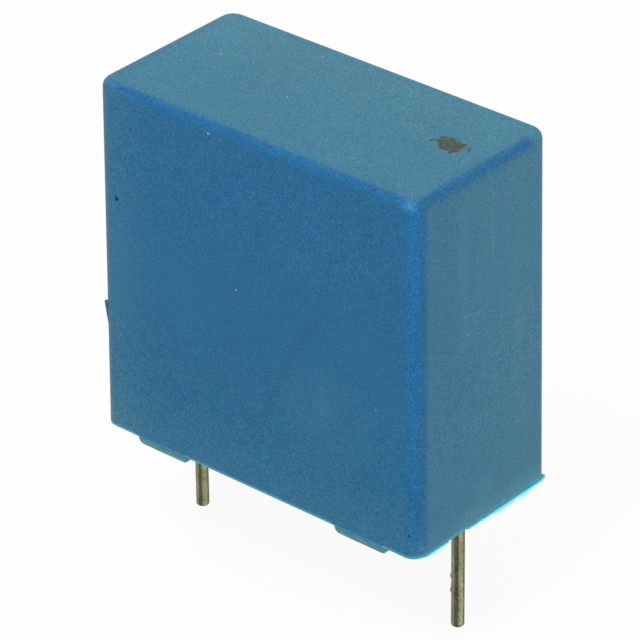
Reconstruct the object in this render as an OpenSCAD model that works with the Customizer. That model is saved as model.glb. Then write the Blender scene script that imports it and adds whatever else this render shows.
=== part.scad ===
// Box film capacitor with two straight leads, potted in a moulded case.
// The origin is midway between the leads, on the plane that the standoffs sit on. +X runs from lead to lead,
// +Z out of the closed top, and the leads point down.

/* [Case] */
// Length of the case at its open rim
case_l = 18; // [17.6:0.1:26]
// Thickness of the case at its open rim
case_t = 9; // [7:0.1:14]
// Height of the case from its rim to its top
case_h = 17.2; // [13:0.1:26]
// Thickness of the side walls at the rim
wall = 0.8; // [0.6:0.05:1]
// Thickness of the closed top
roof = 0.9; // [0.6:0.05:1.5]
// Draft of each outer and inner side, in degrees
draft = 0.33; // [0.1:0.01:1]
// Radius of the four upright outer edges at the rim
corner_r = 0.66; // [0.6:0.02:1.2]
// Radius of those edges at the top
corner_top_r = 0.8; // [0.6:0.05:1.2]
// Radius all round the edge of the top
top_r = 0.42; // [0.2:0.02:0.5]
// Chamfer round the outside of the rim
rim_chamfer = 0.05; // [0.02:0.01:0.05]
// Radius of the upright inner edges
cavity_corner_r = 0.45; // [0.35:0.05:0.8]
// Radius round the inside of the top
cavity_top_r = 0.3; // [0.1:0.05:0.35]

/* [Standoffs] */
// Height of the standoffs below the rim
standoff_h = 0.47; // [0.46:0.01:0.8]
// Length of each standoff
standoff_l = 2.95; // [1.5:0.05:4]
// Radius of the lower corners of each standoff
standoff_end_r = 0.3; // [0.05:0.01:0.32]
// Radius of the fillets where the ends of a standoff meet the rim
standoff_fillet_r = 0.14; // [0.05:0.01:0.14]
// Distance from the end of the case to the middle of a standoff
standoff_inset = 3.3; // [2.6:0.05:4]
// Distance from the long side of the case to the face of a standoff
standoff_setback = 0.25; // [0.1:0.05:0.4]

/* [Leads] */
// Distance between the leads
lead_pitch = 15; // [14.6:0.1:15.2]
// Diameter of the lead wire
lead_d = 0.6; // [0.5:0.05:0.8]
// Mean length of the leads below the standoffs
lead_l = 5.64; // [3:0.02:30]
// How much longer the right lead is cut than that, and the left one shorter
lead_uneven = 0.08; // [0:0.01:0.3]
// Radius round the edge of each lead's cut tip
lead_tip_r = 0.12; // [0.05:0.01:0.2]
// Thickness of the pressed end of the lead inside the case
lead_pressed_t = 0.4; // [0.3:0.05:0.45]
// Length of the pressed end that lies on the end spray
lead_weld_l = 8.5; // [4:0.1:9]
// Depth to which the pressed end is welded into the end spray
weld_depth = 0.1; // [0.05:0.01:0.2]

/* [Winding] */
// Distance from each side wall to the flat sides of the winding
winding_gap_side = 0.5; // [0.35:0.05:1]
// Distance from the rim to the bottom of the winding
winding_gap_bottom = 1.7; // [1:0.1:2.5]
// Distance from the inside of the top to the winding
winding_gap_top = 0.8; // [0.4:0.1:2]
// Thickness of the metal sprayed on each end of the winding
spray_t = 0.6; // [0.3:0.05:1]
// Distance from the winding's outline to the edge of the sprayed metal
spray_inset = 0.12; // [0.05:0.01:0.3]

/* [Potting] */
// Distance from the rim up to the surface of the resin
resin_recess = 0.05; // [0.02:0.01:0.06]
// How far the winding and its leads sit behind the middle of the case
potted_offset = 0.17; // [0:0.01:0.2]

/* [Moulding flash] */
// Thickness of the flash and of the corner burr, up from the rim
flash_t = 0.08; // [0.06:0.01:0.12]
// Furthest that the flash reaches from the right end
flash_reach = 0.25; // [0.1:0.01:0.3]
// Distance from the corner of the rim to the tip of its burr
corner_burr = 0.15; // [0.05:0.01:0.2]
// Radius of the tip of the corner burr
corner_burr_r = 0.05; // [0.03:0.01:0.1]
// Height of the top of the small burr on the front left edge
edge_burr_z = 6.65; // [3:0.05:12]
// Length of the burr on the edge
edge_burr_l = 1.15; // [0.5:0.05:2]
// Radius of the burr at its blunt top
edge_burr_r = 0.15; // [0.1:0.01:0.2]

/* [Hidden] */
$fn = 48;
// facets round a corner that a hull joins
hull_fn = 48;
// how far a cutting shape runs past the face that it cuts
cut = 0.1;
// ragged edge of the flash, from front to back: a place as a share of the case's thickness from its middle, and
// the reach there as a share of flash_reach; where that is negative, the edge runs inside the wall
FLASH = [[-0.45, -0.5], [-0.43, 0.02], [-0.4, 0.22], [-0.37, 0.4], [-0.33, 0.55], [-0.3, 0.4],
         [-0.26, 0.1], [-0.24, -0.4], [-0.13, -0.4], [-0.1, 0.25], [-0.08, 0.6], [-0.055, 0.5],
         [-0.025, 0.1], [-0.015, 0.15], [-0.005, 0.6], [0.02, 0.65], [0.05, 0.2], [0.062, 0.2],
         [0.07, 0.85], [0.1, 1], [0.19, 0.95], [0.215, 0.8], [0.24, 0.4], [0.252, 0.45],
         [0.26, 0.9], [0.295, 1.05], [0.33, 0.75], [0.38, 0.45], [0.43, 0.35], [0.46, 0.2],
         [0.485, -0.1], [0.49, -0.5]];

rim_z = standoff_h;
top_z = rim_z + case_h;
resin_z = rim_z + resin_recess;
standoff_x = case_l / 2 - standoff_inset;
standoff_t = wall - standoff_setback;

winding_t = case_t - 2 * wall - 2 * winding_gap_side;
winding_z = rim_z + winding_gap_bottom;
winding_h = top_z - roof - winding_gap_top - winding_z;
// outer face of the end spray, from the middle
spray_x = lead_pitch / 2 - lead_pressed_t / 2 + weld_depth;
winding_l = 2 * (spray_x - spray_t);
lead_top_z = winding_z + spray_inset + lead_weld_l;

// ---- shapes shared by the pieces ----

// The children at the four corners of a rectangle, each as far inside it as their own radius
module at_corners(length, thickness, r) {
    for (x = [-1, 1], y = [-1, 1])
        translate([x * (length / 2 - r), y * (thickness / 2 - r), 0])
            children();
}

// A box from z0 up to z1 that is length by thickness at its foot, with drafted sides, a chamfered foot, upright
// edges rounded by foot_r at the foot and by head_r at the top, and a top edge rounded by round_r
module drafted_box(length, thickness, z0, z1, foot_r, head_r, round_r, chamfer) {
    drawn_in = (z1 - round_r - z0) * tan(draft);
    hull() {
        translate([0, 0, z0])
            at_corners(length, thickness, foot_r)
                cylinder(h = chamfer, r1 = foot_r - chamfer, r2 = foot_r, $fn = hull_fn);
        translate([0, 0, z1 - round_r])
            at_corners(length - 2 * drawn_in, thickness - 2 * drawn_in, head_r)
                rotate_extrude($fn = hull_fn)
                    intersection() {
                        translate([head_r - round_r, 0])
                            circle(r = round_r, $fn = hull_fn);
                        square([head_r, round_r]);
                    }
    }
}

// The room inside the case, which the resin fills
module cavity() {
    drafted_box(case_l - 2 * wall, case_t - 2 * wall, rim_z - cut, top_z - roof,
                cavity_corner_r, cavity_corner_r, cavity_top_r, cut / 2);
}

// A flat oval bar along X, centred on the winding, with its outline drawn in by inset
module oval_bar(length, inset) {
    half_t = winding_t / 2;
    rotate([90, 0, 90])
        linear_extrude(height = length, center = true)
            union() {
                translate([-half_t + inset, winding_z + half_t])
                    square([winding_t - 2 * inset, winding_h - winding_t]);
                for (z = [winding_z + half_t, winding_z + winding_h - half_t])
                    translate([0, z])
                        circle(r = half_t - inset);
            }
}

// ---- the case ----

// One low foot on the rim: rounded at its lower corners, and filleted where its ends meet the rim
module standoff() {
    fillet_x = standoff_l / 2 + standoff_fillet_r;
    foot_x = standoff_l / 2 - standoff_end_r;
    rotate([90, 0, 0])
        linear_extrude(height = standoff_t, center = true)
            difference() {
                union() {
                    translate([-foot_x, 0])
                        square([2 * foot_x, standoff_end_r]);
                    for (x = [-foot_x, foot_x])
                        translate([x, standoff_end_r])
                            circle(r = standoff_end_r);
                    translate([-standoff_l / 2, standoff_end_r])
                        square([standoff_l, standoff_h + rim_chamfer - standoff_end_r]);
                    translate([-fillet_x, standoff_h - standoff_fillet_r])
                        square([2 * fillet_x, standoff_fillet_r + rim_chamfer]);
                }
                for (x = [-fillet_x, fillet_x])
                    translate([x, standoff_h - standoff_fillet_r])
                        circle(r = standoff_fillet_r + rim_chamfer / 4);
            }
}

module standoffs() {
    for (x = [-1, 1], y = [-1, 1])
        translate([x * standoff_x, y * (case_t / 2 - standoff_setback - standoff_t / 2), 0])
            standoff();
}

// The thin ragged flash along the right end of the rim, and the burr at its back corner
module flash() {
    root_x = case_l / 2 - wall / 2;
    edge = [for (p = FLASH) [case_l / 2 + p[1] * flash_reach, p[0] * case_t]];
    root = [[root_x, FLASH[len(FLASH) - 1][0] * case_t], [root_x, FLASH[0][0] * case_t]];
    translate([0, 0, rim_z])
        linear_extrude(height = flash_t)
            polygon(concat(edge, root));
    translate([case_l / 2 - corner_r, case_t / 2 - corner_r, rim_z])
        rotate([0, 0, 45])
            linear_extrude(height = flash_t)
                hull() {
                    circle(r = corner_r - 2 * rim_chamfer);
                    translate([corner_r + corner_burr - corner_burr_r, 0])
                        circle(r = corner_burr_r, $fn = 24);
                }
}

// The burr on the front left edge: blunt at its top and running out to nothing below
module edge_burr() {
    up = edge_burr_z - rim_z;
    edge_r = corner_r + (corner_top_r - corner_r) * up / case_h;
    inset = edge_r + up * tan(draft);
    translate([-case_l / 2 + inset, -case_t / 2 + inset, edge_burr_z - edge_burr_l])
        rotate([0, 0, 225])
            translate([edge_r, 0, 0])
                cylinder(h = edge_burr_l, r1 = edge_burr_r / 10, r2 = edge_burr_r, $fn = 24);
}

module case() {
    color([0.19, 0.41, 0.56])
        translate([0, -potted_offset, 0])
            difference() {
                union() {
                    drafted_box(case_l, case_t, rim_z, top_z, corner_r, corner_top_r, top_r, rim_chamfer);
                    standoffs();
                    flash();
                    edge_burr();
                }
                cavity();
            }
}

// ---- what the case holds ----

module potting_resin() {
    color([0.22, 0.4, 0.5])
        difference() {
            intersection() {
                translate([0, -potted_offset, 0])
                    cavity();
                translate([-case_l / 2, -case_t, resin_z])
                    cube([case_l, 2 * case_t, case_h]);
            }
            oval_bar(winding_l, 0);
            for (side = [-1, 1]) {
                spray_blank(side);
                lead_blank(side);
            }
        }
}

module film_winding() {
    color([0.75, 0.76, 0.78])
        oval_bar(winding_l, 0);
}

// The sprayed metal on one end, before the lead is welded into it
module spray_blank(side) {
    translate([side * (winding_l + spray_t) / 2, 0, 0])
        oval_bar(spray_t, spray_inset);
}

module end_spray(side) {
    color([0.55, 0.56, 0.58])
        difference() {
            spray_blank(side);
            lead_blank(side);
        }
}

// One lead: a cut tip, a round shank up to the resin, then the pressed end that is welded to the spray
module lead_blank(side) {
    r = lead_d / 2;
    tip_z = -lead_l - side * lead_uneven;
    translate([side * lead_pitch / 2, 0, 0]) {
        translate([0, 0, tip_z])
            rotate_extrude()
                union() {
                    square([r - lead_tip_r, lead_tip_r]);
                    intersection() {
                        translate([r - lead_tip_r, lead_tip_r])
                            circle(r = lead_tip_r);
                        square([r, lead_tip_r]);
                    }
                }
        translate([0, 0, tip_z + lead_tip_r])
            cylinder(h = resin_z - tip_z - lead_tip_r, r = r);
        intersection() {
            translate([0, 0, resin_z])
                rotate([0, 0, 22.5])
                    cylinder(h = lead_top_z - resin_z, r = r, $fn = 8);
            translate([-lead_pressed_t / 2, -lead_d, resin_z])
                cube([lead_pressed_t, 2 * lead_d, lead_top_z - resin_z]);
        }
    }
}

module lead(side) {
    color([0.6, 0.59, 0.52])
        lead_blank(side);
}

case();
potting_resin();
film_winding();
end_spray(-1);  // end_spray_left
end_spray(1);  // end_spray_right
lead(-1);  // lead_left
lead(1);  // lead_right
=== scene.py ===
"""Looks of the box film capacitor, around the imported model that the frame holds.

The CAD nodes get their finishes. The poured face of the resin, its collars round the leads and the lumps of
tin on the leads are pieces of their own. The floor, the world, the lights and the camera come last.
"""
import math

import bmesh
import bpy
from mathutils import Matrix, Vector, noise

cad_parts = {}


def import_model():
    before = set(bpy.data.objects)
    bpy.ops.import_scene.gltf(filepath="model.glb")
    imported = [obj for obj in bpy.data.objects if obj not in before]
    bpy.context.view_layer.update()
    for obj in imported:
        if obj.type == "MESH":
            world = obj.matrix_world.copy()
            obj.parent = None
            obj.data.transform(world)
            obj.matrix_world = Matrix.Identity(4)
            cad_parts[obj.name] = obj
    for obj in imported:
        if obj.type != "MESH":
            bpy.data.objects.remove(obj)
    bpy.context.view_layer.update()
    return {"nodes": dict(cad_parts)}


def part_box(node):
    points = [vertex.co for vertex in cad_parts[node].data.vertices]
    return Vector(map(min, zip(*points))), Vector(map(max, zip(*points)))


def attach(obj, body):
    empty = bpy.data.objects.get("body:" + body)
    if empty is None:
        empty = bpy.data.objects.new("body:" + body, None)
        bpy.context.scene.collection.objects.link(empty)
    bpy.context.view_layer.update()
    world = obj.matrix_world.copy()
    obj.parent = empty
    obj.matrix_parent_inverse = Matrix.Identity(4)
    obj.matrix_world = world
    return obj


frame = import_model()

MM = 0.001

# ---- sizes of the part in millimetres ----
# They are read from the frame where one of its boxes gives them, and follow part.scad otherwise.
case_lo, case_hi = (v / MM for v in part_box("case"))
resin_lo, resin_hi = (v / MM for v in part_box("potting_resin"))
lead_lo, lead_hi = (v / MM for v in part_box("lead_right"))
RESIN_Z = resin_lo.z
RESIN_SUNK = 0.05
RIM_Z = RESIN_Z - RESIN_SUNK
TOP_Z = case_hi.z
HALF_L = -case_lo.x
HALF_T = 4.5
MID_Y = (resin_lo.y + resin_hi.y) / 2
DRAFT = math.tan(math.radians(0.33))
# The radius of the upright edges at the rim and about half way up, and the radius round the top.
CORNER_R = 0.66
UPRIGHT_R = 0.72
TOP_R = 0.42
STANDOFF_FROM_END = 3.3
STANDOFF_X = HALF_L - STANDOFF_FROM_END
STANDOFF_L = 2.95
CAVITY_HALF_L = resin_hi.x
CAVITY_HALF_T = (resin_hi.y - resin_lo.y) / 2
CAVITY_R = 0.45
LEAD_X = (lead_lo.x + lead_hi.x) / 2
LEAD_R = (lead_hi.x - lead_lo.x) / 2
TIP_Z = lead_lo.z


# ---- node trees ----
# Vector Math gives a vector at its first output and a number, such as a distance, at its second.
VECTOR, NUMBER = 0, 1
# Mix has separate sockets for numbers, vectors and colours. These are its factor and those for colours.
MIX_FACTOR, MIX_A, MIX_B, MIX_OUT = 0, 6, 7, 2
# The middle of a noise, the range in which nearly all of it lies, and what makes that range about -1 to 1.
NOISE_MIDDLE = 0.5
NOISE_LOW, NOISE_HIGH = 0.3, 0.7
NOISE_GAIN = 4.0
# The directions in which a seed moves the noise of a mask and of a grain.
MASK_SHIFT = (1.0, 0.7, -1.3)
GRAIN_SHIFT = (1.0, -0.6, 1.1)
# How many waves per millimetre make an edge ragged, and how far they move it.
RAGGED_WAVES = 9.0
RAGGED_REACH = 0.16


class Net:
    """A material's node tree, with short ways to add nodes.

    What a socket is given is a number, a vector, a colour or another socket.
    """

    def __init__(self, name):
        self.material = bpy.data.materials.new(name)
        self.material.use_nodes = True
        self.tree = self.material.node_tree
        self.tree.nodes.clear()
        self.out = self.tree.nodes.new("ShaderNodeOutputMaterial")
        self.cache = {}

    def put(self, socket, value):
        """Links the socket to another, or sets it to a value."""
        if isinstance(value, bpy.types.NodeSocket):
            self.tree.links.new(value, socket)
        elif isinstance(value, (tuple, list)) and len(value) == 3 and socket.type == "RGBA":
            socket.default_value = (*value, 1.0)
        else:
            socket.default_value = value

    def node(self, kind, inputs=(), **settings):
        """Adds a shader node of this kind, with what its inputs are given and with its settings."""
        made = self.tree.nodes.new("ShaderNode" + kind)
        for key, value in settings.items():
            setattr(made, key, value)
        for key, value in dict(inputs).items():
            self.put(made.inputs[key], value)
        return made

    def math(self, operation, *values, clamp=False):
        """The result of a Math node."""
        made = self.node("Math", operation=operation, use_clamp=clamp)
        for socket, value in zip(made.inputs, values):
            self.put(socket, value)
        return made.outputs[0]

    def plus(self, a, b):
        return self.math("ADD", a, b)

    def minus(self, a, b):
        return self.math("SUBTRACT", a, b)

    def lesser(self, a, b):
        return self.math("MINIMUM", a, b)

    def greater(self, a, b):
        return self.math("MAXIMUM", a, b)

    def absolute(self, value):
        return self.math("ABSOLUTE", value)

    def both(self, *masks):
        """The product of all the masks."""
        total = masks[0]
        for mask in masks[1:]:
            total = self.math("MULTIPLY", total, mask)
        return total

    def rest_of(self, mask):
        """1 where the mask is 0, and 0 where it is 1."""
        return self.minus(1.0, mask)

    def vec(self, operation, a, b=(0, 0, 0), out=VECTOR):
        """The result of a Vector Math node: a vector, or a number where out says so."""
        made = self.node("VectorMath", operation=operation)
        self.put(made.inputs[0], a)
        self.put(made.inputs["Scale" if operation == "SCALE" else 1], b)
        return made.outputs[out]

    def split(self, vector):
        """The vector's x, y and z."""
        return self.node("SeparateXYZ", {"Vector": vector}).outputs

    def place(self):
        """Where the surface is in the shared frame, in millimetres."""
        if "place" not in self.cache:
            self.cache["place"] = self.vec("SCALE", self.node("TexCoord").outputs["Object"], 1 / MM)
        return self.cache["place"]

    def facing(self):
        """The surface's normal."""
        if "facing" not in self.cache:
            self.cache["facing"] = self.node("NewGeometry").outputs["Normal"]
        return self.cache["facing"]

    def ragged(self):
        """The place, shifted a little by fine noise, so that spots and lines get uneven edges."""
        if "ragged" not in self.cache:
            at = self.vec("SCALE", self.place(), RAGGED_WAVES)
            wave = self.node("TexNoise", {"Vector": at, "Scale": 1.0, "Detail": 2.0}).outputs["Color"]
            shift = self.vec("SCALE", self.vec("SUBTRACT", wave, (NOISE_MIDDLE,) * 3), RAGGED_REACH)
            self.cache["ragged"] = self.vec("ADD", self.place(), shift)
        return self.cache["ragged"]

    def waves(self, size, stretch, detail, roughness, shift):
        """A noise texture whose features are about size millimetres across, drawn out by stretch."""
        at = self.vec("DIVIDE", self.place(), tuple(s * size for s in stretch))
        at = self.vec("ADD", at, shift)
        settings = {"Vector": at, "Scale": 1.0, "Detail": detail, "Roughness": roughness}
        return self.node("TexNoise", settings).outputs

    def noise(self, size, stretch=(1, 1, 1), detail=2.0, roughness=0.5, seed=0.0):
        """Noise between 0 and 1."""
        shift = tuple(seed * s for s in MASK_SHIFT)
        return self.waves(size, stretch, detail, roughness, shift)["Fac"]

    def grain(self, colour, size, even, tinted, stretch=(1, 1, 1), detail=1.0, seed=0.0, lift=(0, 0, 0)):
        """Varies a colour's brightness by about the even share, and each of its parts by the tinted share.

        The lift is added to the colour before the shares are taken, so that its dark parts vary too.
        """
        shift = tuple(seed * s for s in GRAIN_SHIFT)
        wave = self.waves(size, stretch, detail, 0.5, shift)
        own = self.vec("SUBTRACT", wave["Color"], (NOISE_MIDDLE,) * 3)
        own = self.vec("SCALE", own, NOISE_GAIN * tinted)
        shared = self.both(self.minus(wave["Fac"], NOISE_MIDDLE), NOISE_GAIN, even)
        shared = self.node("CombineXYZ", {"X": shared, "Y": shared, "Z": shared}).outputs[0]
        change = self.vec("MULTIPLY", self.vec("ADD", colour, lift), self.vec("ADD", own, shared))
        return self.vec("ADD", colour, change)

    def ramp(self, value, low, high, to_low=0.0, to_high=1.0):
        """Goes smoothly from to_low, where the value is low, to to_high, where it is high."""
        made = self.node("MapRange", {"Value": value, "From Min": low, "From Max": high,
                                      "To Min": to_low, "To Max": to_high})
        made.interpolation_type = "SMOOTHSTEP"
        return made.outputs[0]

    def spread(self, value, to_low, to_high):
        """Takes a noise's whole range to the one between to_low and to_high."""
        return self.ramp(value, NOISE_LOW, NOISE_HIGH, to_low, to_high)

    def mix(self, factor, a, b):
        """Colour a where the factor is 0, and colour b where it is 1."""
        made = self.node("Mix", data_type="RGBA", clamp_factor=True)
        self.put(made.inputs[MIX_FACTOR], factor)
        self.put(made.inputs[MIX_A], a)
        self.put(made.inputs[MIX_B], b)
        return made.outputs[MIX_OUT]

    def brighten(self, colour, factor):
        """Brightens the colour, or darkens it where the factor is below 1."""
        return self.vec("SCALE", colour, factor)

    def near(self, points, softness=0.35):
        """1 within each (point, radius) spot and 0 outside all of them."""
        total = 0.0
        for point, radius in points:
            away = self.vec("DISTANCE", self.ragged(), point, out=NUMBER)
            total = self.greater(self.ramp(away, radius * (1 + softness), radius * (1 - softness)), total)
        return total

    def line(self, points, width, softness=0.6):
        """1 along the straight lines from point to point and 0 further off than about half the width."""
        total = 0.0
        half = width / 2
        for start, end in zip(points, points[1:]):
            along = Vector(end) - Vector(start)
            offset = self.vec("SUBTRACT", self.ragged(), tuple(start))
            share = self.vec("DOT_PRODUCT", offset, tuple(along / along.length_squared), out=NUMBER)
            share = self.lesser(self.greater(share, 0.0), 1.0)
            foot = self.vec("SCALE", tuple(along), share)
            away = self.vec("DISTANCE", offset, foot, out=NUMBER)
            total = self.greater(self.ramp(away, half * (1 + softness), half * (1 - softness)), total)
        return total

    def bump(self, height, distance):
        """The normal of a bumpy surface. A height of 1 stands for distance, in millimetres."""
        return self.node("Bump", {"Strength": 1.0, "Distance": distance * MM, "Height": height}).outputs[0]

    def finish(self, **sockets):
        """Ends the tree in a Principled shader with these inputs, and gives the material."""
        shader = self.node("BsdfPrincipled")
        for key, value in sockets.items():
            self.put(shader.inputs[key.replace("_", " ")], value)
        self.tree.links.new(shader.outputs[0], self.out.inputs["Surface"])
        return self.material


# ---- places on the case: along a face from its middle, and up from the rim, in millimetres ----
def on_front(x, up):
    return (x, MID_Y - HALF_T + up * DRAFT, RIM_Z + up)


def on_end(y, up):
    return (HALF_L - up * DRAFT, MID_Y + y, RIM_Z + up)


def on_back(x, up):
    return (x, MID_Y + HALF_T - up * DRAFT, RIM_Z + up)


def on_left(y, up):
    return (up * DRAFT - HALF_L, MID_Y + y, RIM_Z + up)


def on_top(x, y):
    return (x, MID_Y + y, TOP_Z)


# ---- colours of the case ----
# The flats' blues carry painted sheen, a reflection of the white surroundings painted into the colour: more
# on the top and the ends than on the front and the back.
FRONT_BLUE = (0.0066, 0.110, 0.247)
FRONT_LOW_BLUE = (0.0085, 0.111, 0.232)
END_BLUE = (0.040, 0.156, 0.237)
END_DEEP_BLUE = (0.028, 0.146, 0.232)
TOP_BLUE = (0.0345, 0.163, 0.249)
TOP_BACK_BLUE = (0.0455, 0.1785, 0.245)
# A painted light on the rounded edges, and the painted shade they take towards the ends.
EDGE_LIT_BLUE = (0.0065, 0.122, 0.292)
EDGE_FLECK = (0.030, 0.210, 0.440)
EDGE_SHADE = (0.0110, 0.102, 0.225)
CLOUD_BLUE = (0.020, 0.150, 0.262)
# Painted glare at the left and painted reflection of the floor at the foot.
GLARE_BLUE = (0.060, 0.193, 0.252)
LOW_GLARE_BLUE = (0.064, 0.198, 0.272)
# A painted highlight on the near corner of the top.
CORNER_HIGHLIGHT_BLUE = (0.048, 0.260, 0.540)
PATCH_PALE = (0.130, 0.290, 0.330)
RUB_PALE = (0.160, 0.300, 0.360)
SCUFF_DARK = (0.045, 0.110, 0.120)
# A painted glow of light through the thin wall at the rim.
RIM_GLOW_BLUE = (0.070, 0.370, 0.480)
FOOT_BLUE = (0.075, 0.250, 0.345)
# Painted glare on the lower part of the standoffs.
FOOT_GLARE_BLUE = (0.095, 0.236, 0.272)
# The flash's blues are painted light through the thin plastic, and FLASH_SHADE is painted shade.
FLASH_ROOT = (0.080, 0.420, 0.530)
FLASH_LIT_MIDDLE = (0.190, 0.740, 0.800)
FLASH_LIT_EDGE = (0.570, 0.990, 0.960)
FLASH_SHADE = (0.060, 0.290, 0.380)
SPECK_PALE = (0.42, 0.50, 0.52)
SPECK_FAINT = (0.010, 0.035, 0.060)
SPECK_DARK = (0.006, 0.012, 0.018)
SMUDGE_BROWN = (0.058, 0.055, 0.021)

# ---- marks on the case: lines through places, and spots as (place, radius) ----
SINK = [on_front(3.6, 9.7), on_front(2.6, 8.6), on_front(1.7, 6.8), on_front(1.0, 5.0), on_front(0.4, 3.2),
        on_front(0.1, 2.4)]
SCRATCH = [on_end(-1.24, 10.56), on_end(-0.75, 10.52), on_end(-0.24, 10.4)]
DARK_SPECKS = [(on_front(-7.81, 11.7), 0.105), (on_front(8.6, 1.18), 0.085)]
FAINT_SPECKS = [(on_end(-3.89, 2.94), 0.06), (on_front(-0.6, 15.27), 0.07), (on_front(4.59, 8.05), 0.07),
                (on_front(-5.1, 15.4), 0.06), (on_end(-0.2, 5.6), 0.05), (on_top(4.3, 2.9), 0.06),
                (on_back(5.2, 11.4), 0.07), (on_back(-3.1, 6.2), 0.06), (on_left(1.4, 12.0), 0.06)]
PALE_SPECKS = [(on_front(-0.99, 9.7), 0.055), (on_front(-2.42, 16.72), 0.06), (on_top(-6.22, 0.71), 0.06),
               (on_top(-2.68, 3.26), 0.06), (on_top(-1.41, -0.5), 0.06), (on_end(-1.04, 9.65), 0.042),
               (on_front(6.78, 6.74), 0.032), (on_back(-1.6, 13.8), 0.06), (on_back(6.8, 4.1), 0.055),
               (on_left(-2.0, 5.3), 0.06)]
SMUDGE_AT = on_top(6.7, 0.6)
# Half the smudge's sizes along x and y. The last number does nothing on a flat top.
SMUDGE_HALF = (0.74, 0.46, 1.0)
# The softness of lines that fade out across their whole width.
FADING = 0.9

# What is added to a blue before grain varies it, so that its red varies too and its blue less.
BLUE_LIFT = (0.034, 0.0, -0.050)


class CaseNet(Net):
    """The case's node tree, with what the layers of its finish share.

    up is the height above the rim, deep_x, deep_y and deep_z are the depths below the drafted outer faces and
    the top, and is_top, is_end and is_side are masks. The underside and the cavity count as side.
    """

    def __init__(self):
        super().__init__("case_moulding")
        self.x, self.y, self.z = self.split(self.place())
        self.up = self.minus(self.z, RIM_Z)
        drawn = self.both(self.up, DRAFT)
        self.deep_x = self.minus(self.minus(HALF_L, drawn), self.absolute(self.x))
        self.deep_y = self.minus(self.minus(HALF_T, drawn), self.absolute(self.minus(self.y, MID_Y)))
        self.deep_z = self.minus(TOP_Z, self.z)
        facing_x, _, self.facing_z = self.split(self.facing())
        self.is_top = self.ramp(self.facing_z, 0.55, 0.65)
        self.is_end = self.both(self.ramp(self.absolute(facing_x), 0.65, 0.75), self.rest_of(self.is_top))
        self.is_side = self.rest_of(self.greater(self.is_top, self.is_end))
        self.cloud = self.noise(5.0, detail=3, seed=3.1)
        self.blotch = self.noise(0.6, detail=3, seed=8.4)


def sheen_masks(n):
    """The shares of painted sheen on the top, the ends and the sides: 1 on a flat and less on its rounded
    edges.

    The edges at the left and at the back keep the painted sheen.
    """
    in_top = n.minus(n.lesser(n.deep_x, n.deep_y), TOP_R)
    below = n.minus(n.deep_z, TOP_R)
    in_end = n.lesser(n.minus(n.deep_y, UPRIGHT_R), below)
    in_side = n.lesser(n.minus(n.deep_x, UPRIGHT_R), below)
    left = n.ramp(n.x, -7.5, -8.1, 0, 0.85)
    back = n.ramp(n.y, MID_Y + 3.0, MID_Y + 3.5, 0, 0.95)
    top = n.plus(n.ramp(in_top, -0.30, 0.02, 0, 0.85), n.ramp(in_top, 0.0, 0.6, 0, 0.15))
    top = n.greater(top, n.greater(left, back))
    end = n.greater(n.ramp(in_end, -0.28, 0.35), n.both(back, n.ramp(n.x, -0.5, 0.5)))
    side = n.greater(n.ramp(in_side, -0.45, 0.08), n.both(left, n.ramp(n.y, 0.5, -0.5)))
    return top, end, side


def flats_and_edges(n):
    """Flats paled by painted sheen, a reflection of the white surroundings painted into the colour, between
    cleaner, deeper blue rounded edges with painted light and shade.
    """
    sheen_top, sheen_end, sheen_side = sheen_masks(n)
    # The rounded edges are a painted light: lighter than the flats, painted lighter up the sides and darker
    # where they face up, with painted shade (EDGE_SHADE) towards the ends.
    bright = n.both(n.ramp(n.up, 0.0, 16.0, 0.87, 1.0), n.ramp(n.facing_z, 0.3, 0.8, 1.0, 0.90))
    towards_end = n.ramp(n.minus(n.deep_x, n.deep_y), -0.45, -0.05)
    edge = n.mix(towards_end, EDGE_SHADE, n.brighten(EDGE_LIT_BLUE, bright))
    fleck = n.ramp(n.noise(0.13, detail=2, roughness=0.6, seed=6.1), 0.50, 0.72, 0, 0.30)
    edge = n.mix(fleck, edge, EDGE_FLECK)
    # The painted sheen also varies across the flats: paler low on the front, deeper towards the front of the
    # right end, paler towards the back of the top and brighter towards its left.
    side_flat = n.mix(n.ramp(n.up, 4.0, 12.5), FRONT_LOW_BLUE, FRONT_BLUE)
    end_flat = n.mix(n.ramp(n.both(n.x, n.y), -30.0, 30.0), END_DEEP_BLUE, END_BLUE)
    top_flat = n.mix(n.ramp(n.y, -2.0, 4.5), TOP_BLUE, TOP_BACK_BLUE)
    top_flat = n.brighten(top_flat, n.ramp(n.x, -3.0, -7.5, 1.0, 1.06))
    colour = n.mix(sheen_side, edge, side_flat)
    colour = n.mix(n.is_end, colour, n.mix(sheen_end, edge, end_flat))
    return n.mix(n.is_top, colour, n.mix(sheen_top, edge, top_flat))


def glare_and_clouds(n, colour):
    """Paler, duller blue towards the left and the foot, painted glare at the left and painted reflection of
    the floor at the foot, and soft clouds on the sides.
    """
    glare_left = n.ramp(n.x, -5.0, -9.2, 0, 0.33)
    glare_foot = n.ramp(n.up, 3.6, 0.2, 0, 0.22)
    colour = n.mix(n.both(n.is_side, n.plus(glare_left, glare_foot)), colour, GLARE_BLUE)
    glare_end = n.both(n.is_end, n.ramp(n.y, -2.4, -0.4, 0.38, 1.0))
    glare_low = n.greater(glare_end, n.ramp(n.x, -6.4, -9.0, 0, 0.28))
    colour = n.mix(n.both(n.ramp(n.up, 1.4, 0.15), glare_low), colour, LOW_GLARE_BLUE)
    return n.mix(n.both(n.is_side, n.ramp(n.cloud, 0.35, 0.75, 0, 0.09)), colour, CLOUD_BLUE)


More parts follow.
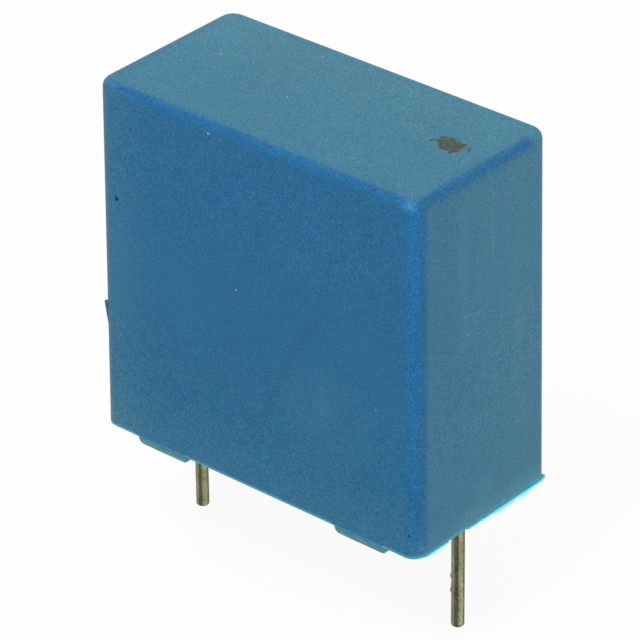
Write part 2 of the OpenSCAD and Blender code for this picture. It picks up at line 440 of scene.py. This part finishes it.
def tone_and_grain(n, colour):
    """Uneven tone, drag marks of the mould along the top and up the ends, and a fine and a coarser grain."""
    drag_top = n.noise(0.20, stretch=(9, 1.6, 1), detail=3, seed=5.5)
    drag_end = n.noise(0.22, stretch=(1, 1, 14), detail=3, seed=2.2)
    calm = n.ramp(n.is_side, 0.0, 1.0, 1.0, 0.45)
    wander = n.plus(n.spread(n.cloud, -0.03, 0.03), n.spread(n.blotch, -0.025, 0.025))
    tone = n.plus(1.0, n.both(wander, calm))
    tone = n.plus(tone, n.both(n.is_top, n.spread(drag_top, -0.03, 0.03)))
    tone = n.plus(tone, n.both(n.is_end, n.spread(drag_end, -0.025, 0.022)))
    colour = n.brighten(colour, tone)
    colour = n.grain(colour, 0.068, 0.26, 0.22, seed=1.7, lift=BLUE_LIFT)
    coarse = n.both(0.045, n.ramp(n.facing_z, 0.5, 0.7, 0.45, 1.6))
    return n.grain(colour, 0.16, coarse, 0.035, detail=2.0, seed=4.6, lift=BLUE_LIFT)


def corner_highlight(n, colour):
    """A painted highlight, brighter and patchy, on the near corner of the top."""
    front = MID_Y - HALF_T
    corner = n.both(n.ramp(n.x, HALF_L - 1.15, HALF_L - 0.42), n.ramp(n.y, front + 0.48, front + 0.22))
    patchy = n.ramp(n.noise(0.11, detail=2, seed=7.7), 0.36, 0.60, 0.20, 0.72)
    return n.mix(n.both(corner, n.ramp(n.deep_z, 0.56, 0.26), patchy), colour, CORNER_HIGHLIGHT_BLUE)


def soft_marks(n, colour, sink):
    """Diffuse pale patches, the sink line, rubs on the right end and scuffs on the top."""
    patchy = n.spread(n.noise(1.1, detail=2, seed=1.9), 0.4, 1.0)
    patch = n.both(n.near([(on_front(3.9, 5.3), 1.7)], 1.0), patchy)
    patch = n.greater(patch, n.near([(on_end(0.1, 1.5), 0.55)], 0.8))
    colour = n.mix(n.both(patch, 0.13), colour, PATCH_PALE)
    colour = n.brighten(colour, n.rest_of(n.both(sink, 0.07)))
    rub = n.line([on_end(0.66, 15.6), on_end(0.60, 12.7)], 0.22, FADING)
    rub = n.greater(rub, n.both(n.line([on_end(-1.3, 15.9), on_end(-1.25, 9.0)], 0.5, FADING), 0.6))
    rub = n.greater(rub, n.both(n.line([on_end(2.3, 9.5), on_end(2.35, 3.5)], 0.6, FADING), 0.5))
    colour = n.mix(n.both(rub, 0.10), colour, RUB_PALE)
    scuff = n.line([on_top(-3.6, 2.0), on_top(-2.9, 1.2), on_top(-2.5, 0.1)], 0.30, FADING)
    scuff = n.greater(scuff, n.line([on_top(-3.9, 0.9), on_top(-3.4, 0.1), on_top(-3.2, -0.6)], 0.22, FADING))
    scuff = n.greater(scuff, n.line([on_top(-7.2, 2.9), on_top(-5.9, 3.1)], 0.5, FADING))
    broken = n.ramp(n.noise(0.12, seed=9.0), 0.4, 0.6, 0.0, 0.30)
    return n.mix(n.both(scuff, broken), colour, SCUFF_DARK)


def rim_line(n, colour):
    """The pale line where the wall thins at the rim, painted light shining through it: higher at the right
    and fainter above the standoffs.
    """
    off_standoff = n.absolute(n.minus(n.absolute(n.x), STANDOFF_X))
    above_standoff = n.both(n.is_side, n.ramp(n.minus(off_standoff, STANDOFF_L / 2), 0.05, -0.15))
    height = n.plus(n.ramp(n.x, HALF_L - 0.6, HALF_L - 0.2, 0.24, 0.29),
                    n.both(n.is_end, n.ramp(n.y, -1.0, 0.5, 0, 0.08)))
    height = n.minus(height, n.both(above_standoff, 0.10))
    rim_glow = n.ramp(n.math("DIVIDE", n.up, height), 1.0, 0.12)
    uneven = n.spread(n.noise(0.5, detail=2, seed=6.3), 0.65, 1.0)
    rim_glow = n.both(rim_glow, uneven, n.ramp(above_standoff, 0, 1, 1.0, 0.75))
    return n.mix(n.both(rim_glow, n.ramp(n.facing_z, -0.97, -0.85)), colour, RIM_GLOW_BLUE)


def standoffs(n, colour):
    """The standoffs below the rim: grainy, and paler towards the faces that the part stands on, which is
    painted glare.
    """
    base = n.mix(n.ramp(n.z, 0.16, 0.02), FOOT_BLUE, FOOT_GLARE_BLUE)
    return n.mix(n.ramp(n.up, 0.0, -0.03), colour, n.grain(base, 0.12, 0.20, 0.06, stretch=(4, 4, 1)))


def flash(n, colour):
    """The flash and the burr on the rim: paler the further they stand out, painted light shining through the
    thin plastic, and painted shade at the back corner.

    Flash is what stands out from the drafted outer faces and their corners.
    """
    out_x = n.greater(n.minus(CORNER_R, n.deep_x), 0.0)
    out_y = n.greater(n.minus(CORNER_R, n.deep_y), 0.0)
    squared = n.plus(n.both(out_x, out_x), n.both(out_y, out_y))
    proud = n.minus(n.math("POWER", squared, 0.5), CORNER_R)
    pale = n.mix(n.ramp(proud, 0.01, 0.08), FLASH_ROOT, FLASH_LIT_MIDDLE)
    pale = n.mix(n.ramp(proud, 0.05, 0.16), pale, FLASH_LIT_EDGE)
    pale = n.mix(n.ramp(n.y, MID_Y + 3.9, MID_Y + 4.4, 0, 0.6), pale, FLASH_SHADE)
    return n.mix(n.both(n.ramp(proud, 0.004, 0.012), n.ramp(n.up, 1.2, 0.8)), colour, pale)


def smudge_mask(n):
    """A ragged, broken smudge on the top."""
    at = n.vec("DIVIDE", n.vec("SUBTRACT", n.ragged(), SMUDGE_AT), SMUDGE_HALF)
    sway = n.spread(n.noise(0.35, detail=3, seed=3.3), -0.45, 0.45)
    inside = n.ramp(n.plus(n.vec("LENGTH", at, out=NUMBER), sway), 1.10, 0.92)
    broken = n.ramp(n.noise(0.07, detail=2, seed=2.9), 0.34, 0.52, 0.45, 0.95)
    return n.both(inside, broken, n.is_top)


def case_finish():
    """Blue moulding, from the flats up to the small marks of use."""
    n = CaseNet()
    sink = n.line(SINK, 0.35, FADING)
    scratch = n.line(SCRATCH, 0.07)
    dark = n.near(DARK_SPECKS)
    smudge = smudge_mask(n)

    colour = flats_and_edges(n)
    colour = glare_and_clouds(n, colour)
    colour = tone_and_grain(n, colour)
    colour = corner_highlight(n, colour)
    colour = soft_marks(n, colour, sink)
    colour = rim_line(n, colour)
    colour = standoffs(n, colour)
    colour = flash(n, colour)
    pale = n.greater(n.near(PALE_SPECKS), n.both(scratch, 0.26))
    colour = n.mix(n.both(pale, 0.5), colour, SPECK_PALE)
    colour = n.mix(n.both(n.near(FAINT_SPECKS), 0.55), colour, SPECK_FAINT)
    colour = n.mix(n.both(dark, 0.93), colour, SPECK_DARK)
    colour = n.mix(smudge, colour, n.grain(SMUDGE_BROWN, 0.09, 0.6, 0.25, seed=5.0))

    rough = n.plus(n.spread(n.blotch, 0.46, 0.54), n.both(n.greater(dark, smudge), 0.2))
    texture = n.noise(0.07, detail=2, roughness=0.7, seed=4.0)
    pits = n.greater(dark, n.greater(n.both(scratch, 0.6), n.both(sink, 0.2)))
    normal = n.bump(n.minus(texture, n.both(pits, 3.0)), 0.006)
    return n.finish(Base_Color=colour, Roughness=rough, Normal=normal, IOR=1.5, Specular_IOR_Level=0.2)


# ---- finishes of the other CAD nodes ----
HOLES_PER_MM = 0.55
RESIN_DEEP = (0.020, 0.085, 0.140)
RESIN_CLOUD = (0.028, 0.105, 0.165)
PINHOLE = (0.006, 0.020, 0.035)
# The tin's dark colour stands for painted dark reflection, and its pale one for a painted highlight.
TIN_DARK = (0.076, 0.074, 0.042)
TIN_HIGHLIGHT = (0.320, 0.330, 0.198)
# The azimuth of each lead's side with the painted highlight, in degrees.
TIN_HIGHLIGHT_SIDE = 68.0
FILM_DARK = (0.45, 0.46, 0.48)
FILM_PALE = (0.62, 0.63, 0.65)
SPRAY_DARK = (0.25, 0.26, 0.27)
SPRAY_PALE = (0.42, 0.43, 0.44)


def resin_finish():
    """Cast epoxy with a few pinholes."""
    n = Net("cast_epoxy")
    cloud = n.noise(2.2, detail=3, seed=1.0)
    colour = n.mix(n.spread(cloud, 0, 1), RESIN_DEEP, RESIN_CLOUD)
    settings = {"Vector": n.place(), "Scale": HOLES_PER_MM, "Randomness": 1.0}
    cells = n.node("TexVoronoi", settings).outputs["Distance"]
    hole = n.ramp(cells, 0.075, 0.045)
    colour = n.mix(n.both(hole, 0.7), colour, PINHOLE)
    colour = n.grain(colour, 0.15, 0.06, 0.06, seed=5.0)
    normal = n.bump(n.minus(n.noise(1.2, detail=2, seed=6.0), n.both(hole, 1.2)), 0.05)
    return n.finish(Base_Color=colour, Roughness=n.spread(cloud, 0.16, 0.3), Normal=normal, IOR=1.55)


def lead_finish():
    """Dull hot-dipped tin: granular, with darker and lighter runs down the wire, a painted highlight on two
    opposite sides and painted dark reflection between them.
    """
    n = Net("dull_tin")
    runs = n.noise(0.16, stretch=(1, 1, 16), detail=2, seed=7.0)
    dip = n.noise(0.35, stretch=(1, 1, 2.5), detail=3, roughness=0.6, seed=2.0)
    speckle = n.noise(0.055, stretch=(1, 1, 1.5), detail=2, roughness=0.6, seed=9.0)
    grit = n.noise(0.09, stretch=(1, 1, 1.6), detail=3, roughness=0.65, seed=4.0)
    # Painted highlight towards the highlight side and the side opposite, a fainter one at right angles to
    # them, and painted dark reflection between.
    azimuth = math.radians(TIN_HIGHLIGHT_SIDE)
    side = n.vec("DOT_PRODUCT", n.facing(), (math.sin(azimuth), -math.cos(azimuth), 0.0), out=NUMBER)
    side = n.plus(n.absolute(side), n.spread(runs, -0.03, 0.03))
    pale = n.greater(n.ramp(side, 0.83, 0.99), n.ramp(side, 0.70, 0.34, 0, 0.6))
    pale = n.math("ADD", pale, n.spread(speckle, -0.22, 0.22), clamp=True)
    colour = n.brighten(n.mix(pale, TIN_DARK, TIN_HIGHLIGHT), n.spread(dip, 0.82, 1.18))
    colour = n.grain(colour, 0.07, 0.40, 0.10, seed=3.0)
    normal = n.bump(n.plus(n.both(runs, 0.5), grit), 0.025)
    return n.finish(Base_Color=colour, Metallic=1.0, Roughness=n.spread(dip, 0.46, 0.34), Normal=normal)


def film_finish():
    """Edges of wound metallised film."""
    n = Net("wound_film")
    band = n.noise(0.2, stretch=(60, 1, 1), detail=2, seed=2.0)
    colour = n.mix(n.spread(band, 0, 1), FILM_DARK, FILM_PALE)
    rough = n.spread(band, 0.25, 0.4)
    return n.finish(Base_Color=colour, Metallic=1.0, Roughness=rough, Normal=n.bump(band, 0.01))


def spray_finish():
    """Grainy sprayed metal."""
    n = Net("sprayed_metal")
    grit = n.noise(0.12, detail=4, roughness=0.7, seed=3.0)
    colour = n.mix(n.spread(grit, 0, 1), SPRAY_DARK, SPRAY_PALE)
    rough = n.spread(grit, 0.6, 0.8)
    return n.finish(Base_Color=colour, Metallic=0.9, Roughness=rough, Normal=n.bump(grit, 0.05))


# ---- the CAD nodes ----
# Vertices this close, in millimetres, are one.
WELD_GAP = 0.0005
# Edges sharper than this, in degrees, stay sharp.
SHARP_ANGLE = 32


def smooth(node):
    """Joins the split corners and shades rounded edges as round, without moving a vertex."""
    mesh = node.data
    for name in ("custom_normal", "sharp_edge", "sharp_face"):
        if name in mesh.attributes:
            mesh.attributes.remove(mesh.attributes[name])
    weld = node.modifiers.new("weld", "WELD")
    weld.merge_threshold = WELD_GAP * MM
    split = node.modifiers.new("split", "EDGE_SPLIT")
    split.split_angle = math.radians(SHARP_ANGLE)
    split.use_edge_sharp = False
    node.modifiers.new("normals", "WEIGHTED_NORMAL")


def dress(node, material):
    """Gives a CAD node its material and its shading."""
    node.data.materials.clear()
    node.data.materials.append(material)
    smooth(node)


case_material = case_finish()
resin_material = resin_finish()
film_material = film_finish()
spray_material = spray_finish()
lead_material = lead_finish()
dress(frame["nodes"]["case"], case_material)
dress(frame["nodes"]["potting_resin"], resin_material)
dress(frame["nodes"]["film_winding"], film_material)
for side in ("left", "right"):
    dress(frame["nodes"]["end_spray_" + side], spray_material)
    dress(frame["nodes"]["lead_" + side], lead_material)


def add(name, data):
    """Puts a new object into the scene."""
    made = bpy.data.objects.new(name, data)
    bpy.context.scene.collection.objects.link(made)
    return made


# ---- small pieces, modelled in millimetres ----
def piece(name, mesh, material):
    """Makes a piece of the mesh, in metres, that rides on the part."""
    data = bpy.data.meshes.new(name)
    bmesh.ops.recalc_face_normals(mesh, faces=mesh.faces)
    mesh.to_mesh(data)
    mesh.free()
    data.transform(Matrix.Scale(MM, 4))
    data.shade_smooth()
    data.materials.append(material)
    made = add(name, data)
    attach(made, "root")


def bridge(mesh, rings):
    """Quads between closed rings of vertices that have the same count."""
    for lower, upper in zip(rings, rings[1:]):
        for i in range(len(lower)):
            j = (i + 1) % len(lower)
            mesh.faces.new((lower[i], lower[j], upper[j], upper[i]))


def rounded_outline(half_x, half_y, radius, per_corner, per_side):
    """Points round a rounded rectangle, spread evenly over each corner and each side."""
    points = []
    corners = ((half_x - radius, half_y - radius, 0), (-half_x + radius, half_y - radius, 90),
               (-half_x + radius, -half_y + radius, 180), (half_x - radius, -half_y + radius, 270))
    for k, (cx, cy, start) in enumerate(corners):
        for i in range(per_corner + 1):
            a = math.radians(start + 90 * i / per_corner)
            points.append((cx + radius * math.cos(a), cy + radius * math.sin(a)))
        nx, ny, turn = corners[(k + 1) % 4]
        a = math.radians(turn)
        ax, ay = points[-1]
        bx, by = nx + radius * math.cos(a), ny + radius * math.sin(a)
        points += [(ax + (bx - ax) * i / per_side, ay + (by - ay) * i / per_side) for i in range(1, per_side)]
    return points


# How far the rings of the skin lie inside the cavity's outline, closer together where it climbs the wall.
SKIN_INSETS = (0.0, 0.04, 0.09, 0.16, 0.26, 0.4, 0.6, 0.9, 1.3, 1.8, 2.4, 3.0, CAVITY_HALF_T - 0.1)
SKIN_PER_CORNER = 8
SKIN_PER_SIDE = 40
SKIN_LEAST_R = 0.05
SKIN_PROUD = 0.014
WAVE_HEIGHT = 0.012
WAVES_PER_MM = 0.45
WAVE_SEED = 4.0
CLIMB_HEIGHT = 0.030
CLIMB_WIDTH = 0.16
CLIMB_UNEVEN = 0.4
CLIMB_SEED = 9.0


def resin_skin(material):
    """The poured face of the resin: slack waves, drawn up along the walls."""
    mesh = bmesh.new()
    rings = []
    for inset in SKIN_INSETS:
        radius = max(CAVITY_R - inset, SKIN_LEAST_R)
        half_x, half_y = CAVITY_HALF_L - inset, CAVITY_HALF_T - inset
        outline = rounded_outline(half_x, half_y, radius, SKIN_PER_CORNER, SKIN_PER_SIDE)
        ring = []
        for px, py in outline:
            wave = noise.noise(Vector((px * WAVES_PER_MM, py * WAVES_PER_MM, WAVE_SEED))) * WAVE_HEIGHT
            uneven = 1 + CLIMB_UNEVEN * noise.noise(Vector((px, py, CLIMB_SEED)))
            climb = CLIMB_HEIGHT * math.exp(-inset / CLIMB_WIDTH) * uneven
            ring.append(mesh.verts.new((px, MID_Y + py, RESIN_Z - SKIN_PROUD + wave * min(1, inset) - climb)))
        rings.append(ring)
    bridge(mesh, rings)
    mesh.faces.new(rings[-1])
    piece("resin_skin", mesh, material)


COLLAR_STEPS = 14
COLLAR_SEGMENTS = 48
COLLAR_INTO_LEAD = 0.01
COLLAR_PROUD = 0.016
COLLAR_REACH = 0.52
REACH_SWAY = 0.14
COLLAR_DROP = 0.26
DROP_SWAY = 0.10
# How far the noise for the drop is from the one for the reach.
DROP_SHIFT = 5
# The powers that shape the collar's hollow side: how late it spreads, and how soon it rises to the resin.
COLLAR_FLARE = 1.7
COLLAR_RISE = 2.2


def resin_collar(name, x, seed, material):
    """The resin drawn down round a lead."""
    mesh = bmesh.new()
    rings = []
    for k in range(COLLAR_STEPS + 1):
        share = k / COLLAR_STEPS
        ring = []
        for i in range(COLLAR_SEGMENTS):
            a = math.tau * i / COLLAR_SEGMENTS
            right, back = math.cos(a), math.sin(a)
            reach = COLLAR_REACH + REACH_SWAY * noise.noise(Vector((right, back, seed)))
            drop = COLLAR_DROP + DROP_SWAY * noise.noise(Vector((right, back, seed + DROP_SHIFT)))
            r = LEAD_R - COLLAR_INTO_LEAD + reach * share ** COLLAR_FLARE
            z = RESIN_Z - COLLAR_PROUD - drop * (1 - share) ** COLLAR_RISE
            ring.append(mesh.verts.new((x + r * right, r * back, z)))
        rings.append(ring)
    bridge(mesh, rings)
    piece(name, mesh, material)


def ball(mesh, segments, steps):
    """A ball of radius 1: two poles, with rings of vertices between them."""
    top = mesh.verts.new((0, 0, 1))
    bottom = mesh.verts.new((0, 0, -1))
    rings = []
    for k in range(1, steps):
        down = math.pi * k / steps
        ring = []
        for i in range(segments):
            a = math.tau * i / segments
            place = (math.sin(down) * math.cos(a), math.sin(down) * math.sin(a), math.cos(down))
            ring.append(mesh.verts.new(place))
        rings.append(ring)
    bridge(mesh, rings)
    for i in range(segments):
        j = (i + 1) % segments
        mesh.faces.new((top, rings[0][i], rings[0][j]))
        mesh.faces.new((bottom, rings[-1][j], rings[-1][i]))


# The lumps of tin: how finely they are meshed, how deep they sink into the lead, and how uneven they are.
PIP_SEGMENTS = 24
PIP_STEPS = 16
PIP_DEPTH = 0.03
PIP_UNEVEN = 0.22
PIP_WAVES = 1.4
PIP_SAG = 0.15


def solder_pip(name, lead_x, azimuth, top, length, width, proud, seed, material):
    """A small uneven lump of tin on the side of a lead, from its top downwards."""
    mesh = bmesh.new()
    ball(mesh, PIP_SEGMENTS, PIP_STEPS)
    a = math.radians(azimuth)
    out = Vector((math.sin(a), -math.cos(a), 0))
    along = Vector((math.cos(a), math.sin(a), 0))
    middle = Vector((lead_x, 0, top - length / 2)) + out * (LEAD_R - PIP_DEPTH)
    for vertex in mesh.verts:
        v = vertex.co.copy()
        v *= 1 + PIP_UNEVEN * noise.noise(v * PIP_WAVES + Vector((seed, 0, 0)))
        sag = PIP_SAG * v.x * (1 - v.z) * proud
        vertex.co = middle + along * v.y * width / 2 + out * (v.x * (proud + PIP_DEPTH) + sag)
        vertex.co.z += v.z * length / 2
    piece(name, mesh, material)


resin_skin(resin_material)
resin_collar("resin_collar_left", -LEAD_X, seed=1.5, material=resin_material)
resin_collar("resin_collar_right", LEAD_X, seed=8.5, material=resin_material)
solder_pip("solder_pip_upper", LEAD_X, azimuth=-45, top=-2.92, length=0.36, width=0.22, proud=0.030, seed=2.0,
           material=lead_material)
solder_pip("solder_pip_lower", LEAD_X, azimuth=-52, top=-3.70, length=0.30, width=0.20, proud=0.034, seed=6.0,
           material=lead_material)
solder_pip("solder_pip_left", -LEAD_X, azimuth=250, top=-1.6, length=0.42, width=0.24, proud=0.022, seed=11.0,
           material=lead_material)


# ---- floor, world, lights and camera: lengths in metres, angles in degrees ----
FLOOR_HALF = 1.2
FLOOR_GREY = (0.78, 0.78, 0.775)
FLOOR_PALE = (0.80, 0.80, 0.80)
# How much of the floor's look is the backdrop's white. The rest takes light and keeps the shadow.
BACKDROP_SHARE = 0.92
WORLD_STRENGTH = 0.75
WHITE = (1.0, 1.0, 1.0)
WHITE_STRENGTH = 1.0

# The photograph's view, as fitted to the part's edges. The lens and sensor are in millimetres.
VIEW_AZIMUTH = 40.986
VIEW_ELEVATION = 30.351
VIEW_ROLL = -0.676
VIEW_AIM = Vector((-1.9588, 1.9225, RIM_Z + 4.8917)) * MM
VIEW_DISTANCE = 205.447 * MM
VIEW_LENS = 262.17
SENSOR = 36.0
CLIP_START = 0.005
CLIP_END = 10.0


def floor_finish():
    """Pale floor that is seen mostly as the backdrop's white and keeps the shadow."""
    n = Net("pale_floor")
    tone = n.mix(n.noise(3.0, detail=2, seed=1.0), FLOOR_GREY, FLOOR_PALE)
    diffuse = n.node("BsdfDiffuse", {"Color": tone}).outputs[0]
    glow = n.node("Emission", {"Color": WHITE, "Strength": WHITE_STRENGTH}).outputs[0]
    rays = n.node("LightPath").outputs
    seen = n.greater(n.greater(rays["Is Camera Ray"], rays["Is Transmission Ray"]), rays["Is Glossy Ray"])
    mixed = n.node("MixShader", {0: n.both(seen, BACKDROP_SHARE), 1: diffuse, 2: glow}).outputs[0]
    n.tree.links.new(mixed, n.out.inputs["Surface"])
    return n.material


def floor():
    """The plain floor, as high as the tip of the longer lead."""
    mesh = bmesh.new()
    corners = ((-1, -1), (1, -1), (1, 1), (-1, 1))
    mesh.faces.new([mesh.verts.new((x * FLOOR_HALF, y * FLOOR_HALF, TIP_Z * MM)) for x, y in corners])
    data = bpy.data.meshes.new("floor")
    mesh.to_mesh(data)
    mesh.free()
    data.materials.append(floor_finish())
    made = add("floor", data)


def world():
    """Soft light from all round, which shows as plain white to the camera and in reflections."""
    scene_world = bpy.data.worlds.new("tent")
    bpy.context.scene.world = scene_world
    scene_world.use_nodes = True
    tree = scene_world.node_tree
    tree.nodes.clear()
    rays = tree.nodes.new("ShaderNodeLightPath").outputs
    seen = rays["Is Camera Ray"]
    for kind in ("Is Glossy Ray", "Is Transmission Ray"):
        either = tree.nodes.new("ShaderNodeMath")
        either.operation = "MAXIMUM"
        tree.links.new(seen, either.inputs[0])
        tree.links.new(rays[kind], either.inputs[1])
        seen = either.outputs[0]
    mixed = tree.nodes.new("ShaderNodeMixShader")
    tree.links.new(seen, mixed.inputs[0])
    for socket, strength in ((mixed.inputs[1], WORLD_STRENGTH), (mixed.inputs[2], WHITE_STRENGTH)):
        background = tree.nodes.new("ShaderNodeBackground")
        background.inputs["Color"].default_value = (*WHITE, 1.0)
        background.inputs["Strength"].default_value = strength
        tree.links.new(background.outputs[0], socket)
    out = tree.nodes.new("ShaderNodeOutputWorld")
    tree.links.new(mixed.outputs[0], out.inputs["Surface"])


def outward(azimuth, elevation):
    """The direction from the part to a light or camera: azimuth 0 is the front, and 90 the right end."""
    az, el = math.radians(azimuth), math.radians(elevation)
    return Vector((math.sin(az) * math.cos(el), -math.cos(az) * math.cos(el), math.sin(el)))


def light(name, azimuth, elevation, distance, size, power):
    """A square soft box aimed at the middle of the case."""
    back = outward(azimuth, elevation)
    data = bpy.data.lights.new(name, "AREA")
    data.energy = power
    data.size = size
    made = add(name, data)
    made.location = Vector((0, 0, TOP_Z / 2 * MM)) + back * distance
    made.rotation_euler = back.to_track_quat("Z", "Y").to_euler()


def camera():
    """The photograph's camera."""
    back = outward(VIEW_AZIMUTH, VIEW_ELEVATION)
    azimuth, roll = math.radians(VIEW_AZIMUTH), math.radians(VIEW_ROLL)
    level = Vector((math.cos(azimuth), math.sin(azimuth), 0))
    steep = back.cross(level)
    right = level * math.cos(roll) + steep * math.sin(roll)
    up = steep * math.cos(roll) - level * math.sin(roll)
    data = bpy.data.cameras.new("camera")
    data.sensor_width = SENSOR
    data.lens = VIEW_LENS
    data.clip_start = CLIP_START
    data.clip_end = CLIP_END
    made = add("camera", data)
    turn = Matrix((right, up, back)).transposed().to_4x4()
    made.matrix_world = Matrix.Translation(VIEW_AIM + back * VIEW_DISTANCE) @ turn
    bpy.context.scene.camera = made


floor()
world()
light("key", azimuth=6, elevation=54, distance=0.45, size=0.16, power=0.9)
light("side", azimuth=95, elevation=20, distance=0.45, size=0.20, power=0.45)
camera()
bpy.context.scene.view_settings.view_transform = "Standard"
